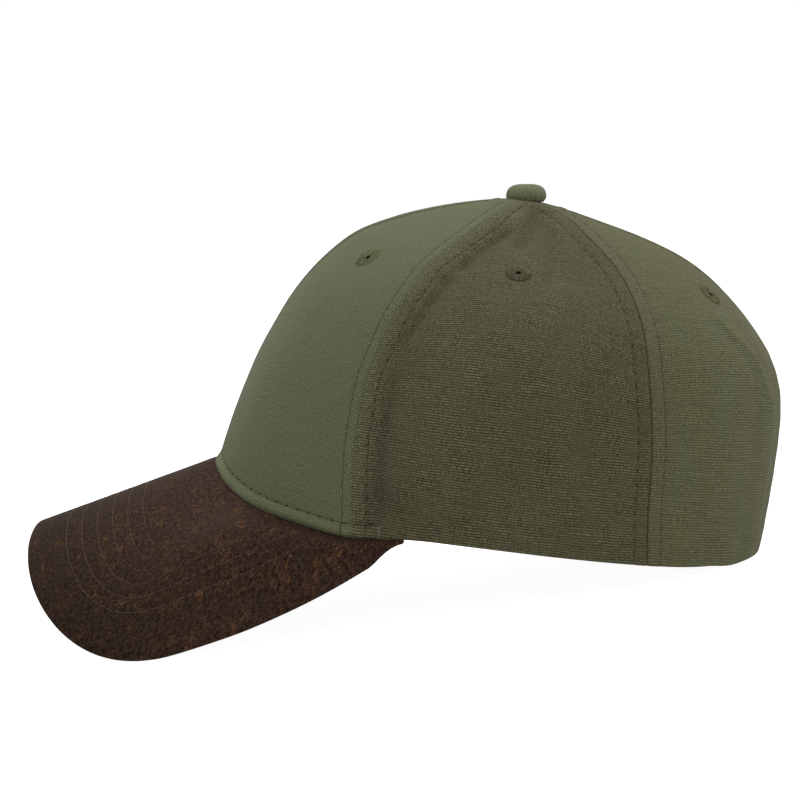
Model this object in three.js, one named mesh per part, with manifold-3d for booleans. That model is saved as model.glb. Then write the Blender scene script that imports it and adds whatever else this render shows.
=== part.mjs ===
// A six-panel cap with a closed back, a curved peak and a covered button, as it rests on a table.
// Millimetres, +Z up, the peak towards -Y and the wearer's left towards +X.

import * as THREE from 'three';
import { mergeVertices } from 'three/addons/utils/BufferGeometryUtils.js';
import Module from 'manifold-3d';

const wasm = await Module();
wasm.setup();

const { clamp, degToRad, lerp, smoothstep } = THREE.MathUtils;

// Clearance between neighbours, and thicknesses of cloth and peak
const GAP = 0.3;
const CROWN_WALL = 1.6;
const HEM_EXTRA = 0.8;
const HEM_TOP = 0.09;
const PEAK_WALL = 3;

// The crown's shape is given in a frame of its own, with the rim's plane level at height 0.
// Each row is one level of the crown, from just below the rim to the button's hole.
// front, side and back are distances from the button's axis. frontSeam and backSeam are where
// the seams cross the level, in degrees from the front and from the back. sag is how far the
// middle of a panel sinks between its seams.
const AXIS_Y = -2;
const LEVELS = [
  { height: -8, front: 103.8, side: 82.4, back: 101.6, frontSeam: 62.2, backSeam: 55.8, sag: 0 },
  { height: 4, front: 102.8, side: 84.8, back: 103.4, frontSeam: 60.9, backSeam: 57.6, sag: 0 },
  { height: 16, front: 100.8, side: 86.8, back: 104.2, frontSeam: 59.4, backSeam: 58.9, sag: 0 },
  { height: 28, front: 98.4, side: 87.8, back: 104.7, frontSeam: 58.1, backSeam: 59.6, sag: 0 },
  { height: 40, front: 95.4, side: 87.8, back: 104.9, frontSeam: 57.2, backSeam: 60.3, sag: 0 },
  { height: 52, front: 91.9, side: 86.4, back: 104.5, frontSeam: 56.6, backSeam: 61.3, sag: 0 },
  { height: 63, front: 87.6, side: 83.4, back: 102.6, frontSeam: 57.1, backSeam: 62, sag: 0.3 },
  { height: 74, front: 82.7, side: 78.2, back: 97.6, frontSeam: 57.7, backSeam: 61.9, sag: 0.8 },
  { height: 84, front: 76.8, side: 70.8, back: 89.8, frontSeam: 59.2, backSeam: 61.4, sag: 1.6 },
  { height: 93, front: 69.7, side: 60.8, back: 80.6, frontSeam: 60.8, backSeam: 61.4, sag: 2.2 },
  { height: 101, front: 61.1, side: 49, back: 70.3, frontSeam: 64.4, backSeam: 62.3, sag: 2.4 },
  { height: 107, front: 50.2, side: 38.8, back: 59, frontSeam: 66.8, backSeam: 63.8, sag: 2.4 },
  { height: 112, front: 37.9, side: 28.8, back: 44, frontSeam: 68.2, backSeam: 62.6, sag: 1.8 },
  { height: 116, front: 24.9, side: 19.4, back: 27.2, frontSeam: 68, backSeam: 58, sag: 0.9 },
  { height: 119, front: 11.8, side: 11, back: 13, frontSeam: 66, backSeam: 57, sag: 0 },
  { height: 120.4, front: 3, side: 3, back: 3, frontSeam: 60, backSeam: 60, sag: 0 },
];
const TOP = LEVELS.length - 1;

// Height of the rim on its way round from the front, 0 degrees, to the back, 180 degrees
const RIM = [
  { degrees: 0, height: 8.3 },
  { degrees: 10, height: 7.4 },
  { degrees: 20, height: 3.9 },
  { degrees: 30, height: 0.1 },
  { degrees: 40, height: -2.6 },
  { degrees: 50, height: -4.2 },
  { degrees: 60, height: -5.6 },
  { degrees: 68, height: -4.6 },
  { degrees: 75, height: -3.2 },
  { degrees: 90, height: -2.7 },
  { degrees: 130, height: -2.9 },
  { degrees: 150, height: -1.4 },
  { degrees: 180, height: 0.8 },
];

// Over the peak the rim stands out by this much, within this height
const FLARE = 1.3;
const FLARE_HEIGHT = 5;
const FLARE_END = { from: 58, to: 76 };

// Soft folds, each a line on the crown between two places. depth is negative for a valley.
const FOLDS = [
  { from: [66, 0], to: [63.3, 37], depth: -2, width: 5 },
  { from: [62.8, 45], to: [62.2, 62], depth: -1.7, width: 5 },
  { from: [62.8, 70], to: [67.6, 89], depth: -1.8, width: 5 },
  { from: [71, 96], to: [80, 111], depth: -1.6, width: 4.5 },
  { from: [100, 115], to: [102, 96], depth: -1, width: 5 },
  { from: [78, 20], to: [74, 62], depth: 0.7, width: 9 },
  { from: [154, 8], to: [152, 58], depth: -0.9, width: 7 },
  { from: [168, 14], to: [166, 66], depth: -0.8, width: 5 },
];

// Panels of one half, with the seams that they run between and each one's share of the sag
const PANELS = [
  { name: 'front_panel', start: () => 0, end: (row) => row.frontSeam, slack: 0.8 },
  { name: 'side_panel', start: (row) => row.frontSeam, end: (row) => 180 - row.backSeam, slack: 1 },
  { name: 'back_panel', start: (row) => 180 - row.backSeam, end: () => 180, slack: 0.5 },
];
const PANEL_COLUMNS = 14;
const PANEL_ROWS = 16;

// Embroidered eyelets: where each sits on its panel, across it and up it, and its sizes
const EYELETS = [
  { name: 'eyelet_front', panel: PANELS[0], across: 0.577, up: 0.588 },
  { name: 'eyelet_side', panel: PANELS[1], across: 0.472, up: 0.61 },
  { name: 'eyelet_back', panel: PANELS[2], across: 0.601, up: 0.6 },
];
const EYELET_RADIUS = 5;
const EYELET_HOLE = 1.25;
const EYELET_NECK = 2.2;
const EYELET_BACK = 4;
const EYELET_BACKING = 0.5;
const EYELET_BEAD = 0.9;
const EYELET_SIDES = 16;
const DRILL_LENGTH = 12;

// Covered button, with the shank and head that hold it through the top of the crown
const BUTTON_RADIUS = 7.5;
const BUTTON_HEIGHT = 5.7;
const BUTTON_TILT = 2;
const SHANK_RADIUS = 2.4;
const HEAD_RADIUS = 5;
const HEAD_THICKNESS = 0.8;
const BUTTON_SIDES = 24;

// Peak: a bent plate. Its top falls forward at a slope and is round about a sloping axis.
const PEAK_CREST = { y: -109.1, z: 8 };
const PEAK_SLOPE = degToRad(27.3);
const PEAK_BEND = 93.2;
const PEAK_HALF_WIDTH = 84.8;
const PEAK_WIDEST_Y = -90;
const PEAK_REACH = 79;
const PEAK_SQUARENESS = 3.1;
const PEAK_END = { x: 80.8, y: -33, degrees: 72.4 };
const PEAK_TUCK = 1.5;
const PEAK_SETTLE = { front: 9, side: 42, from: 4, to: 24 };
const PEAK_TAIL = { from: 0.84, flat: 0.95, wall: 1.2 };
const SEAT_MARGIN = 1.5;
const SEAT_DROP = 0.65;
const PEAK_NOSE = 0.9;
const PEAK_COLUMNS = 32;
const PEAK_ROWS = 8;

// At rest the cap leans back on its rear rim. The hem lies flat where it is this near the table.
const REST_TILT = degToRad(-14.9);
const HEM_REST = 1.3;

const OLIVE_CANVAS = { color: '#5b5d47', roughness: 0.95, metalness: 0 };
const OLIVE_THREAD = { color: '#4e5039', roughness: 0.8, metalness: 0 };
const BROWN_LEATHER = { color: '#3c2d26', roughness: 0.7, metalness: 0 };

// A smooth curve through the rows of a table, at a place counted in rows
function readTable(rows, place) {
  const last = rows.length - 1;
  const spot = clamp(place, 0, last);
  const index = Math.min(Math.floor(spot), last - 1);
  const t = spot - index;
  const [a, b, c, d] = [-1, 0, 1, 2].map((step) => rows[clamp(index + step, 0, last)]);
  const result = {};
  for (const key of Object.keys(b)) {
    const rise = c[key] - a[key];
    const bend = 2 * a[key] - 5 * b[key] + 4 * c[key] - d[key];
    const twist = 3 * (b[key] - c[key]) + d[key] - a[key];
    result[key] = b[key] + 0.5 * t * (rise + t * (bend + t * twist));
  }
  return result;
}

// The place in a table at which a rising column has a value
function findPlace(rows, key, value) {
  let low = 0;
  let high = rows.length - 1;
  for (let turn = 0; turn < 30; turn += 1) {
    const middle = (low + high) / 2;
    if (readTable(rows, middle)[key] < value) low = middle;
    else high = middle;
  }
  return (low + high) / 2;
}

function rimPlace(degrees) {
  const height = readTable(RIM, findPlace(RIM, 'degrees', Math.abs(degrees))).height;
  return findPlace(LEVELS, 'height', height);
}

// The crown before its folds: a level is two half ovals, one to the front and one to the back
function crownPoint(degrees, place) {
  const row = readTable(LEVELS, place);
  const turn = degToRad(degrees);
  const reach = Math.cos(turn) > 0 ? row.front : row.back;
  return new THREE.Vector3(row.side * Math.sin(turn), AXIS_Y - reach * Math.cos(turn), row.height);
}

function crownNormal(degrees, place) {
  const across = crownPoint(degrees + 0.5, place).sub(crownPoint(degrees - 0.5, place));
  const up = crownPoint(degrees, place + 0.1).sub(crownPoint(degrees, place - 0.1));
  return across.cross(up).normalize();
}

const foldLines = FOLDS.map(({ from, to, depth, width }) => {
  const start = { degrees: from[0], place: findPlace(LEVELS, 'height', from[1]) };
  const end = { degrees: to[0], place: findPlace(LEVELS, 'height', to[1]) };
  const along = (t) => crownPoint(lerp(start.degrees, end.degrees, t), lerp(start.place, end.place, t));
  return { along, depth, width };
});

function foldHeight(point) {
  let height = 0;
  for (const { along, depth, width } of foldLines) {
    const chord = new THREE.Line3(along(0), along(1));
    const nearest = along(chord.closestPointToPointParameter(point, true));
    height += depth * Math.exp(-((nearest.distanceTo(point) / width) ** 2));
  }
  return height;
}

function flareHeight(degrees, aboveRim) {
  const end = 1 - smoothstep(degrees, FLARE_END.from, FLARE_END.to);
  return FLARE * end * Math.exp(-((aboveRim / FLARE_HEIGHT) ** 2));
}

// A point of a panel's wall: across and up run from 0 to 1, depth from 0 outside to 1 inside
function panelPoint(panel, across, up, depth) {
  const lowRow = readTable(LEVELS, 0.5);
  const bottom = rimPlace(lerp(panel.start(lowRow), panel.end(lowRow), across));
  const place = lerp(bottom, TOP, up);
  const row = readTable(LEVELS, place);
  const seamDegrees = lerp(panel.start(row), panel.end(row), across);
  const spread = crownPoint(seamDegrees + 0.5, place).distanceTo(crownPoint(seamDegrees - 0.5, place));
  const shift = (GAP / 2 / spread) * (1 - 2 * across);
  const degrees = seamDegrees + shift;
  const point = crownPoint(degrees, place);
  const normal = crownNormal(degrees, place);
  const sag = row.sag * panel.slack * 4 * across * (1 - across);
  const aboveRim = row.height - readTable(LEVELS, bottom).height;
  const lift = foldHeight(point) + flareHeight(degrees, aboveRim) - sag;
  const wall = CROWN_WALL + HEM_EXTRA * (1 - smoothstep(up, HEM_TOP, HEM_TOP + 0.03));
  point.addScaledVector(normal, lift - depth * wall);
  return { point, normal };
}

// A box of many cells, bent so that each of its corners goes where place says
function bentBox(columns, rows, layers, place) {
  const box = new THREE.BoxGeometry(1, 1, 1, columns, rows, layers);
  box.deleteAttribute('normal');
  box.deleteAttribute('uv');
  const geometry = mergeVertices(box, 1e-4);
  const corners = geometry.getAttribute('position');
  for (let index = 0; index < corners.count; index += 1) {
    const corner = new THREE.Vector3().fromBufferAttribute(corners, index).addScalar(0.5);
    const point = place(corner);
    corners.setXYZ(index, point.x, point.y, point.z);
  }
  return geometry;
}

function lathe(profile, sides) {
  const turned = new THREE.LatheGeometry(profile.map(([r, z]) => new THREE.Vector2(r, z)), sides);
  turned.rotateX(Math.PI / 2);
  turned.deleteAttribute('normal');
  turned.deleteAttribute('uv');
  return mergeVertices(turned, 1e-4);
}

function toSolid(geometry) {
  const vertProperties = new Float32Array(geometry.getAttribute('position').array);
  const triVerts = new Uint32Array(geometry.getIndex().array);
  return new wasm.Manifold(new wasm.Mesh({ numProp: 3, vertProperties, triVerts }));
}

function cutAway(geometry, tool) {
  const mesh = toSolid(geometry).subtract(toSolid(tool)).getMesh();
  const result = new THREE.BufferGeometry();
  result.setAttribute('position', new THREE.BufferAttribute(mesh.vertProperties, 3));
  result.setIndex(new THREE.BufferAttribute(mesh.triVerts, 1));
  return result;
}

function makeMesh(name, geometry, finish) {
  geometry.computeVertexNormals();
  const mesh = new THREE.Mesh(geometry, new THREE.MeshStandardMaterial(finish));
  mesh.name = name;
  return mesh;
}

// The same solid on the wearer's right, with its faces turned to point out again
function mirrored(geometry) {
  const copy = geometry.clone().scale(-1, 1, 1);
  copy.getIndex().array.reverse();
  return copy;
}

// Where an eyelet stands on its panel: its place, and the turn from +Z to the cloth's normal
function eyeletSeat(eyelet) {
  const { point, normal } = panelPoint(eyelet.panel, eyelet.across, eyelet.up, 0);
  const turn = new THREE.Quaternion().setFromUnitVectors(new THREE.Vector3(0, 0, 1), normal);
  return { position: point, turn };
}

function makePanel(panel, restHeight) {
  const geometry = bentBox(PANEL_COLUMNS, PANEL_ROWS, 1, (corner) => {
    const { point } = panelPoint(panel, corner.x, corner.y, 1 - corner.z);
    const height = restHeight(point);
    if (corner.y === 0 && height < HEM_REST) point.z -= height / Math.cos(REST_TILT);
    return point;
  });
  const { position, turn } = eyeletSeat(EYELETS.find((eyelet) => eyelet.panel === panel));
  const radius = EYELET_NECK + GAP;
  const drill = new THREE.CylinderGeometry(radius, radius, DRILL_LENGTH, EYELET_SIDES);
  drill.deleteAttribute('normal');
  drill.deleteAttribute('uv');
  drill.rotateX(Math.PI / 2);
  drill.applyQuaternion(turn);
  drill.translate(...position);
  return cutAway(geometry, mergeVertices(drill, 1e-4));
}

function makeEyelet(eyelet) {
  const outer = GAP + 0.1;
  const inner = -CROWN_WALL - GAP - 0.2;
  const profile = [
    [EYELET_HOLE, outer],
    [EYELET_HOLE, inner - EYELET_BACKING],
    [EYELET_BACK, inner - EYELET_BACKING],
    [EYELET_BACK, inner],
    [EYELET_NECK, inner],
    [EYELET_NECK, outer],
    [EYELET_RADIUS, outer],
    [0.94 * EYELET_RADIUS, outer + 0.6 * EYELET_BEAD],
    [0.65 * EYELET_RADIUS, outer + EYELET_BEAD],
    [0.35 * EYELET_RADIUS, outer + 0.7 * EYELET_BEAD],
    [EYELET_HOLE, outer],
  ];
  const { position, turn } = eyeletSeat(eyelet);
  return lathe(profile, EYELET_SIDES).applyQuaternion(turn).translate(...position);
}

// The button's profile is measured from the crown's outer face at its top hole
function makeButton() {
  const headTop = -CROWN_WALL - 3 * GAP;
  const under = 1.8 * GAP;
  const profile = [
    [0, headTop - HEAD_THICKNESS],
    [HEAD_RADIUS, headTop - HEAD_THICKNESS],
    [HEAD_RADIUS, headTop],
    [SHANK_RADIUS, headTop],
    [SHANK_RADIUS, under],
    [0.93 * BUTTON_RADIUS, under - 0.4],
    [BUTTON_RADIUS, under + 0.18 * BUTTON_HEIGHT],
    [0.98 * BUTTON_RADIUS, 0.5 * BUTTON_HEIGHT],
    [0.86 * BUTTON_RADIUS, 0.76 * BUTTON_HEIGHT],
    [0.62 * BUTTON_RADIUS, 0.92 * BUTTON_HEIGHT],
    [0.32 * BUTTON_RADIUS, 0.99 * BUTTON_HEIGHT],
    [0, BUTTON_HEIGHT],
  ];
  const mesh = makeMesh('top_button', lathe(profile, BUTTON_SIDES), OLIVE_CANVAS);
  mesh.position.set(0, AXIS_Y, LEVELS[TOP].height);
  mesh.rotation.x = degToRad(BUTTON_TILT);
  return mesh;
}

// Half of the peak's edge in plan, from its front centre round to its rear end
const peakEdge = new THREE.SplineCurve([
  ...Array.from({ length: 13 }, (_, step) => {
    const turn = (Math.PI / 2) * (step / 12);
    const power = 2 / PEAK_SQUARENESS;
    const x = PEAK_HALF_WIDTH * Math.sin(turn) ** power;
    return new THREE.Vector2(x, PEAK_WIDEST_Y - PEAK_REACH * Math.cos(turn) ** power);
  }),
  ...[0.25, 0.5, 0.75, 1].map((step) => new THREE.Vector2(
    lerp(PEAK_HALF_WIDTH, PEAK_END.x, step ** 2),
    lerp(PEAK_WIDEST_Y, PEAK_END.y, step),
  )),
]);

function peakSurface(x, y) {
  const crest = PEAK_CREST.z + (y - PEAK_CREST.y) * Math.tan(PEAK_SLOPE);
  return crest - (PEAK_BEND - Math.sqrt(PEAK_BEND ** 2 - x ** 2)) / Math.cos(PEAK_SLOPE);
}

// A point of the peak's top: side runs from -1 to 1, out from 0 inside the rim to 1 at the edge.
// The first row of cells is the seat under the crown's hem.
function peakTop(side, out) {
  const degrees = Math.abs(side) * PEAK_END.degrees;
  const place = rimPlace(degrees);
  const wall = CROWN_WALL + HEM_EXTRA + PEAK_TUCK;
  const normal = crownNormal(degrees, place);
  const rim = crownPoint(degrees, place).addScaledVector(normal, flareHeight(degrees, 0));
  const inner = rim.clone().addScaledVector(normal.setZ(0).normalize(), -wall);
  const edge = peakEdge.getPointAt(Math.abs(side));
  const length = Math.hypot(edge.x - inner.x, edge.y - inner.y);
  const seat = Math.min(wall + SEAT_MARGIN, 0.85 * length) / length;
  const firstRow = 1 / PEAK_ROWS;
  const beyond = (out - firstRow) / (1 - firstRow);
  const share = out < firstRow ? (out / firstRow) * seat : lerp(seat, 1, beyond ** 1.25);
  const x = lerp(inner.x, edge.x, share);
  const y = lerp(inner.y, edge.y, share);
  const sideways = smoothstep(degrees, PEAK_SETTLE.from, PEAK_SETTLE.to);
  const reach = lerp(PEAK_SETTLE.front, PEAK_SETTLE.side, sideways);
  const settle = Math.min(reach, 0.8 * (1 - seat) * length);
  const tail = 1 - clamp((Math.abs(side) - PEAK_TAIL.flat) / (1 - PEAK_TAIL.flat), 0, 1);
  const settled = tail * smoothstep((share - seat) * length, 0, settle);
  const z = lerp(rim.z - SEAT_DROP, peakSurface(x, y), settled);
  return new THREE.Vector3(side < 0 ? -x : x, y, z);
}

function makePeak() {
  const geometry = bentBox(PEAK_COLUMNS, PEAK_ROWS, 2, (corner) => {
    const side = 2 * corner.x - 1;
    const out = 1 - corner.y;
    const across = peakTop(clamp(side + 0.01, -1, 1), out).sub(peakTop(clamp(side - 0.01, -1, 1), out));
    const outward = peakTop(side, clamp(out + 0.02, 0, 1)).sub(peakTop(side, clamp(out - 0.02, 0, 1)));
    const normal = outward.clone().cross(across).normalize();
    const thickness = lerp(PEAK_WALL, PEAK_TAIL.wall, smoothstep(Math.abs(side), PEAK_TAIL.from, 1));
    const point = peakTop(side, out).addScaledVector(normal, (corner.z - 1) * thickness);
    if (corner.y === 0 && corner.z === 0.5) point.addScaledVector(outward.normalize(), PEAK_NOSE);
    return point;
  });
  return makeMesh('peak', geometry, BROWN_LEATHER);
}

// Assembly: the cap is tilted as it rests, and set down with its lowest points at height 0
const peak = makePeak();
const leaned = peak.geometry.clone().rotateX(REST_TILT);
leaned.computeBoundingBox();
const restLift = -leaned.boundingBox.min.z;
const restHeight = (point) => point.y * Math.sin(REST_TILT) + point.z * Math.cos(REST_TILT) + restLift;

const cap = new THREE.Group();
cap.rotation.x = REST_TILT;
cap.add(peak, makeButton());
for (const panel of PANELS) {
  const geometry = makePanel(panel, restHeight);
  cap.add(makeMesh(`${panel.name}_left`, geometry, OLIVE_CANVAS));
  cap.add(makeMesh(`${panel.name}_right`, mirrored(geometry), OLIVE_CANVAS));
}
for (const eyelet of EYELETS) {
  const geometry = makeEyelet(eyelet);
  cap.add(makeMesh(`${eyelet.name}_left`, geometry, OLIVE_THREAD));
  cap.add(makeMesh(`${eyelet.name}_right`, mirrored(geometry), OLIVE_THREAD));
}

const part = new THREE.Group();
part.add(cap);
part.updateMatrixWorld(true);
const bounds = new THREE.Box3().setFromObject(part, true);
cap.position.set(0, -(bounds.min.y + bounds.max.y) / 2, restLift);

export default part;
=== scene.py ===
"""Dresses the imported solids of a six-panel cap: canvas crown, satin eyelets, covered button, leather peak."""

from math import cos, pi, radians, sin, tan

import bmesh
import bpy
import numpy as np
from bpy.props import FloatProperty, FloatVectorProperty, IntProperty, PointerProperty
from mathutils import Matrix, Vector


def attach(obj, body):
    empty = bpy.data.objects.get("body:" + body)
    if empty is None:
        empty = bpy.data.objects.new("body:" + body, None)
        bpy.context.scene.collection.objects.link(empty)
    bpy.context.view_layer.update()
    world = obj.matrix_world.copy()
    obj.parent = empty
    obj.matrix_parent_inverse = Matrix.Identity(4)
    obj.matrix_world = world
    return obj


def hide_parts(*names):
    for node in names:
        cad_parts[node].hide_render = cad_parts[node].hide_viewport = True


bl_info = {
    "name": "Six-panel cap",
    "version": (1, 0, 0),
    "blender": (4, 5, 0),
    "location": "3D View > Sidebar > Cap",
    "description": "Makes the cloth, thread and leather of a six-panel cap around its packed solids",
    "category": "Object",
}

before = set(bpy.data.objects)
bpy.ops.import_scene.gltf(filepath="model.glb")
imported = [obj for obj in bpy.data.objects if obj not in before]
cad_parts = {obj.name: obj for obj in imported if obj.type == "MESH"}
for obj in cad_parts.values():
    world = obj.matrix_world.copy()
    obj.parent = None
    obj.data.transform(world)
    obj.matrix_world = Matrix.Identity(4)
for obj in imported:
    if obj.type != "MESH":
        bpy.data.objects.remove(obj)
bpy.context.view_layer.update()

# Sizes in this file are millimetres in the crown's own frame: the rim's plane is level at height 0,
# the peak points to -Y and the wearer's left is +X. The cap then leans back onto its rear rim.
MM = 0.001
REST_TILT = radians(-14.9)
REST_PLACE = (0, 28.3874, 24.4975)

# Levels of the crown from below the rim to the button's hole. The columns are the height, the
# distances from the axis to the front, side and back, the seams' degrees from the front and from
# the back, and how far the middle of a panel sinks between its seams.
HEIGHT, FRONT, SIDE, BACK, FRONT_SEAM, BACK_SEAM, SAG = range(7)
LEVELS = np.array([
    (-8, 103.8, 82.4, 101.6, 62.2, 55.8, 0),
    (4, 102.8, 84.8, 103.4, 60.9, 57.6, 0),
    (16, 100.8, 86.8, 104.2, 59.4, 58.9, 0),
    (28, 98.4, 87.8, 104.7, 58.1, 59.6, 0),
    (40, 95.4, 87.8, 104.9, 57.2, 60.3, 0),
    (52, 91.9, 86.4, 104.5, 56.6, 61.3, 0),
    (63, 87.6, 83.4, 102.6, 57.1, 62, 0.3),
    (74, 82.7, 78.2, 97.6, 57.7, 61.9, 0.8),
    (84, 76.8, 70.8, 89.8, 59.2, 61.4, 1.6),
    (93, 69.7, 60.8, 80.6, 60.8, 61.4, 2.2),
    (101, 61.1, 49, 70.3, 64.4, 62.3, 2.4),
    (107, 50.2, 38.8, 59, 66.8, 63.8, 2.4),
    (112, 37.9, 28.8, 44, 68.2, 62.6, 1.8),
    (116, 24.9, 19.4, 27.2, 68, 58, 0.9),
    (119, 11.8, 11, 13, 66, 57, 0),
    (120.4, 3, 3, 3, 60, 60, 0),
])
TOP = len(LEVELS) - 1
AXIS_Y = -2

# The rim: degrees from the front, and height there
RIM = np.array([
    (0, 8.3), (10, 7.4), (20, 3.9), (30, 0.1), (40, -2.6), (50, -4.2), (60, -5.6),
    (68, -4.6), (75, -3.2), (90, -2.7), (130, -2.9), (150, -1.4), (180, 0.8),
])
FLARE = 1.3
FLARE_HEIGHT = (2.4, 5)
FLARE_END = (58, 76)
CROWN_WALL = 1.6
HEM_EXTRA = 0.8
HEM_HEIGHT = 13
HEM_STEP = 1.5
HEM_REST = 2.6
HEM_REST_FADE = 6

# Soft folds: degrees and height where each starts and ends, its depth (a valley is negative), its width
FOLDS = [
    ((66, 0), (63.3, 37), -2, 5),
    ((62.8, 45), (62.2, 62), -1.7, 5),
    ((62.8, 70), (67.6, 89), -1.8, 5),
    ((71, 96), (80, 111), -1.6, 4.5),
    ((100, 115), (102, 96), -1, 5),
    ((78, 20), (74, 62), 0.7, 9),
    ((154, 8), (152, 58), -0.9, 7),
    ((168, 14), (166, 66), -0.8, 5),
]
# Smaller creases that the solids leave out
CREASES = [
    ((66, -2), (63.2, 42), -0.7, 2.2),
    ((63, 46), (62, 63), -0.3, 2.2),
    ((62.3, 66), (68.5, 93), -1, 1.9),
    ((70, 95), (80, 110), -1.3, 1.9),
    ((66, 11), (77, 5), -1.2, 6),
    ((97, 117.5), (88, 105.5), -1.5, 3),
    ((103, 112), (97, 93), -0.6, 3),
    ((107, 113), (100, 92), 0.6, 3),
    ((148.5, 86), (156, 73), 0.7, 2.2),
    ((156, 73), (161, 55), 0.7, 2.2),
    ((145, 84), (153, 68), -0.4, 3),
    ((146, 12), (147, 50), -0.35, 4),
    ((160, 20), (159, 74), -0.4, 4),
    ((171, 30), (170, 80), -0.35, 3),
    ((38, 20), (34, 70), -0.35, 7),
    ((20, 12), (22, 50), 0.3, 8),
    ((84, 14), (96, 34), -0.4, 6),
    ((104, 40), (112, 72), -0.4, 7),
]

# Panels of one half: the two seams that each runs between and its share of the sag. For both
# seams, stitch_gaps is how far the topstitching lies from it, and grooves how deep it is rolled in.
PANELS = {
    "front": {
        "start": lambda row: 0 * row[..., HEIGHT], "end": lambda row: row[..., FRONT_SEAM],
        "slack": 0.8, "stitch_gaps": (4.4, 3.9), "grooves": (0.5, 0.15),
    },
    "side": {
        "start": lambda row: row[..., FRONT_SEAM], "end": lambda row: 180 - row[..., BACK_SEAM],
        "slack": 1, "stitch_gaps": (5, 5.4), "grooves": (0.1, 0.8),
    },
    "back": {
        "start": lambda row: 180 - row[..., BACK_SEAM], "end": lambda row: 180 + 0 * row[..., HEIGHT],
        "slack": 0.5, "stitch_gaps": (5.5, 4.4), "grooves": (0.7, 0.5),
    },
}

# Columns of a panel's cells close to a seam: distances from it, then from its topstitching
SEAM_COLUMNS = [0.002, 0.12, 0.3, 0.55, 0.9, 1.5, 2.3]
STITCH_COLUMNS = [-0.8, -0.4, 0, 0.4, 0.8, 1.7, 3.2]
SEAM_COLUMN = len(SEAM_COLUMNS) + STITCH_COLUMNS.index(0)
MIDDLE_COLUMNS = 50
# Where a panel is narrow, the columns close to each seam take at most this share of it
EDGE_SHARE = 1 / 2.4
SAMPLES_ACROSS = 65
SAMPLES_UP = 241
# Rows of cells close to the rim, as distances from it. One lies on the hem's topstitching.
HEM_STITCH = 5
HEM_ROWS = [0, 0.1, 0.3, 0.65, 1.1, 1.7, 2.5, 3.4, 4.2, 4.65, HEM_STITCH, 5.35, 5.8, 6.8, 8.2, 10, 12, 14]
HEM_ROW = HEM_ROWS.index(HEM_STITCH)
UPPER_ROWS = 112
SEAM_RIDGE = 0.18
SEAM_ROLL = 0.55
SEAM_FADE = (6, 22)
STITCH_GROOVE = 0.2
STITCH_DIP = 0.75
STITCH_GAP = 1.1
ROW_STITCH_GAP = 0.35
STITCH_SINK = 0.15
STITCH_END_WIDTH = 10
PUCKER = 0.08
PUCKER_PITCH = 9.4
BARTACK_WIDTH = 1.4
BARTACK_TURNS = 9
BARTACK_STEP = 0.42
PUFF = 0.6
HEM_ROUND = 0.7
HEM_SHARPEN = 0.3
# Painted highlight on the puffed hem over the peak, as millimetres added to the fold map
HEM_PAINTED_HIGHLIGHT = 2.2
HEM_STITCH_END = 67

# Eyelets: across the panel and up it
EYELETS = {"front": (0.577, 0.588), "side": (0.472, 0.61), "back": (0.601, 0.6)}
EYELET_RADIUS = 5
EYELET_HOLE = 1.25
EYELET_FLUTES = 30

BUTTON_RADIUS = 7.5
BUTTON_HEIGHT = 6
BUTTON_SINK = 0.3
BUTTON_TILT = radians(7.5)
BUTTON_STEPS = 96
BUTTON_GATHER = 0.13
BUTTON_GATHERS = 22
# Its head from the top down, in shares of its radius and height, then its shank in millimetres
BUTTON_HEAD = [
    (0, 1), (0.18, 0.997), (0.36, 0.985), (0.52, 0.955), (0.67, 0.9), (0.8, 0.81), (0.9, 0.69),
    (0.965, 0.54), (0.995, 0.38), (1, 0.25), (0.975, 0.1), (0.92, 0),
]
BUTTON_SHANK = [
    (6.45, -0.7), (6, -0.3), (3, 0.4), (2.3, 0.4), (2.3, -2.5), (4.9, -2.6), (4.9, -3.2), (0, -3.3),
]

PEAK_CREST_Y = -109.1
PEAK_CREST_Z = 8
PEAK_SLOPE = radians(27.3)
PEAK_BEND = 93.2
PEAK_HALF_WIDTH = 84.8
PEAK_WIDEST_Y = -90
PEAK_REACH = 79
PEAK_SQUARENESS = 3.1
PEAK_END_X = 80.8
PEAK_END_Y = -33
PEAK_END_DEGREES = 72.4
PEAK_TUCK = 1.5
PEAK_SETTLE = (4, 42)
PEAK_SETTLE_DEGREES = (0, 30)
PEAK_FRONT_DEGREES = (25, 45)
PEAK_WALL = 3
PEAK_TAIL_FROM = 0.84
PEAK_TAIL_FLAT = 0.95
PEAK_TAIL_WALL = 0.5
PEAK_NOSE = 0.9
SEAT_MARGIN = 1.5
SEAT_DROP = 0.65
PEAK_COLUMNS = 220
PEAK_SEAT_ROWS = 4
PEAK_ROWS = 74
PEAK_ROUND = 1.5
PEAK_SHARPEN = 0.46
# Distances of the last rows of cells from the edge, where the peak is PEAK_LENGTH from seat to edge
PEAK_EDGE_ROWS = [1.5, 1, 0.6, 0.3, 0.1, 0]
PEAK_LENGTH = 62
# It meets the hem this much above the solid's seat, and at the front in line with its crest
PEAK_LIFT = 1.3
PEAK_LIFT_END = (3.2, 5)
PEAK_CREST_FROM = (2.8, 4)
PEAK_CREST_DEGREES = (3, 14)
ROW_SPREAD_FROM = (0.35, 0.6)
ROW_GROOVE = 0.2
ROW_GROOVE_WIDTH = 0.6
ROW_SPREAD = 0.137
ROW_SHIFT = 1.9


def smoothstep(value, low, high):
    share = np.clip((value - low) / (high - low), 0, 1)
    return share * share * (3 - 2 * share)


def lerp(a, b, t):
    return a + (b - a) * t


def bump_at(value, centre, width):
    """A smooth hump of height 1 at centre"""
    return np.exp(-(((value - centre) / width) ** 2))


def unit(vectors):
    return vectors / np.maximum(np.linalg.norm(vectors, axis=-1, keepdims=True), 1e-12)


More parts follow.
